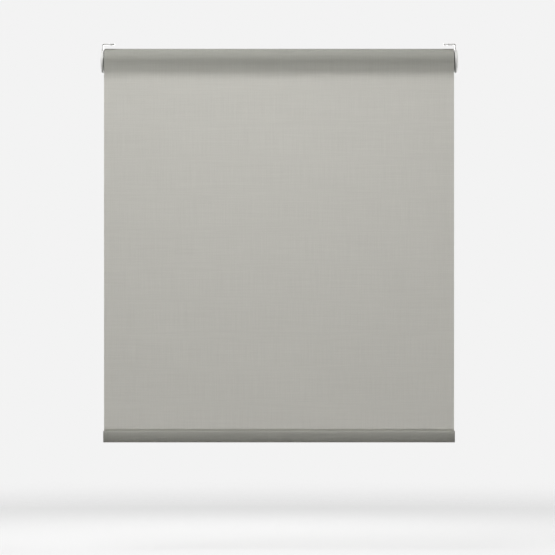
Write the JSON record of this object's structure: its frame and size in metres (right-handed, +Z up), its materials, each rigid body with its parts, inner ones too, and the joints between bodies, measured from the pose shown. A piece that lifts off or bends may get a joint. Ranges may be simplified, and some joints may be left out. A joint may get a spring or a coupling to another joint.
{
  "type": "roller blind",
  "caption": "Cordless spring roller blind: cloth rolled on a tube between two top-fixed end brackets with domed covers, pulled down and pushed up by its weighted hem.",
  "frame": {"origin": "in the plane of the recess head (the upper faces of both bracket flanges), midway between the two ends of the cloth, straight above the axis of the roll", "axes": "+X along the roll towards the spring end, +Y towards the window and away from the room, +Z up"},
  "size_m": [0.717, 0.0511, 0.798],
  "materials": {
    "cloth": "plain woven light-filtering taupe-grey polyester",
    "white_powder_coat": "satin white powder coat on steel",
    "white_plastic": "moulded white plastic, soft gloss",
    "grey_plastic": "moulded grey nylon",
    "aluminium": "extruded mill finish",
    "bright_steel": "plain drawn and turned steel"
  },
  "bodies": {
    "fixings": {"pin_end_bracket": "white_powder_coat", "spring_end_bracket": "white_powder_coat", "pin_end_cover": "white_plastic", "spring_end_cover": "white_plastic", "pin_bush": "grey_plastic", "spring_spindle": "bright_steel", "spring_rod": "bright_steel", "rod_clip": "bright_steel", "spring_anchor": "grey_plastic", "lift_spring": "bright_steel", "brake_drum": "bright_steel", "hanging_cloth": "cloth"},
    "roller": {"roller_tube": "aluminium", "cloth_spline": "grey_plastic", "cloth_roll": "cloth", "spring_end_plug": "grey_plastic", "pin_end_plug": "grey_plastic", "pin_spring_retainer": "grey_plastic", "spring_carrier": "grey_plastic", "brake_spring": "bright_steel", "pin_spring": "bright_steel"},
    "sprung_pin": {"bracket_pin": "bright_steel"},
    "hem": {"hem_pocket": "cloth", "hem_bar": "aluminium", "hem_cap_left": "grey_plastic", "hem_cap_right": "grey_plastic"}
  },
  "joints": [
    {"name": "hem_travel", "type": "slide", "parent": "fixings", "child": "hem", "axis": [0, 0, 1], "range_m": [-0.17, 0.705], "deforming": ["hanging_cloth"]},
    {"name": "roller_turn", "type": "hinge", "parent": "fixings", "child": "roller", "pos_m": [0, 0, -0.0335], "axis": [-1, 0, 0], "range_deg": [-405, 1665], "deforming": ["lift_spring"]},
    {"name": "pin_retract", "type": "slide", "parent": "roller", "child": "sprung_pin", "axis": [1, 0, 0], "range_m": [0, 0.008], "stiffness_N_per_m": 300, "springref_m": -0.006, "deforming": ["pin_spring"]}
  ],
  "couplings": [
    {"joint": "roller_turn", "follows": "hem_travel", "rad_per_m": 41.07}
  ]
}
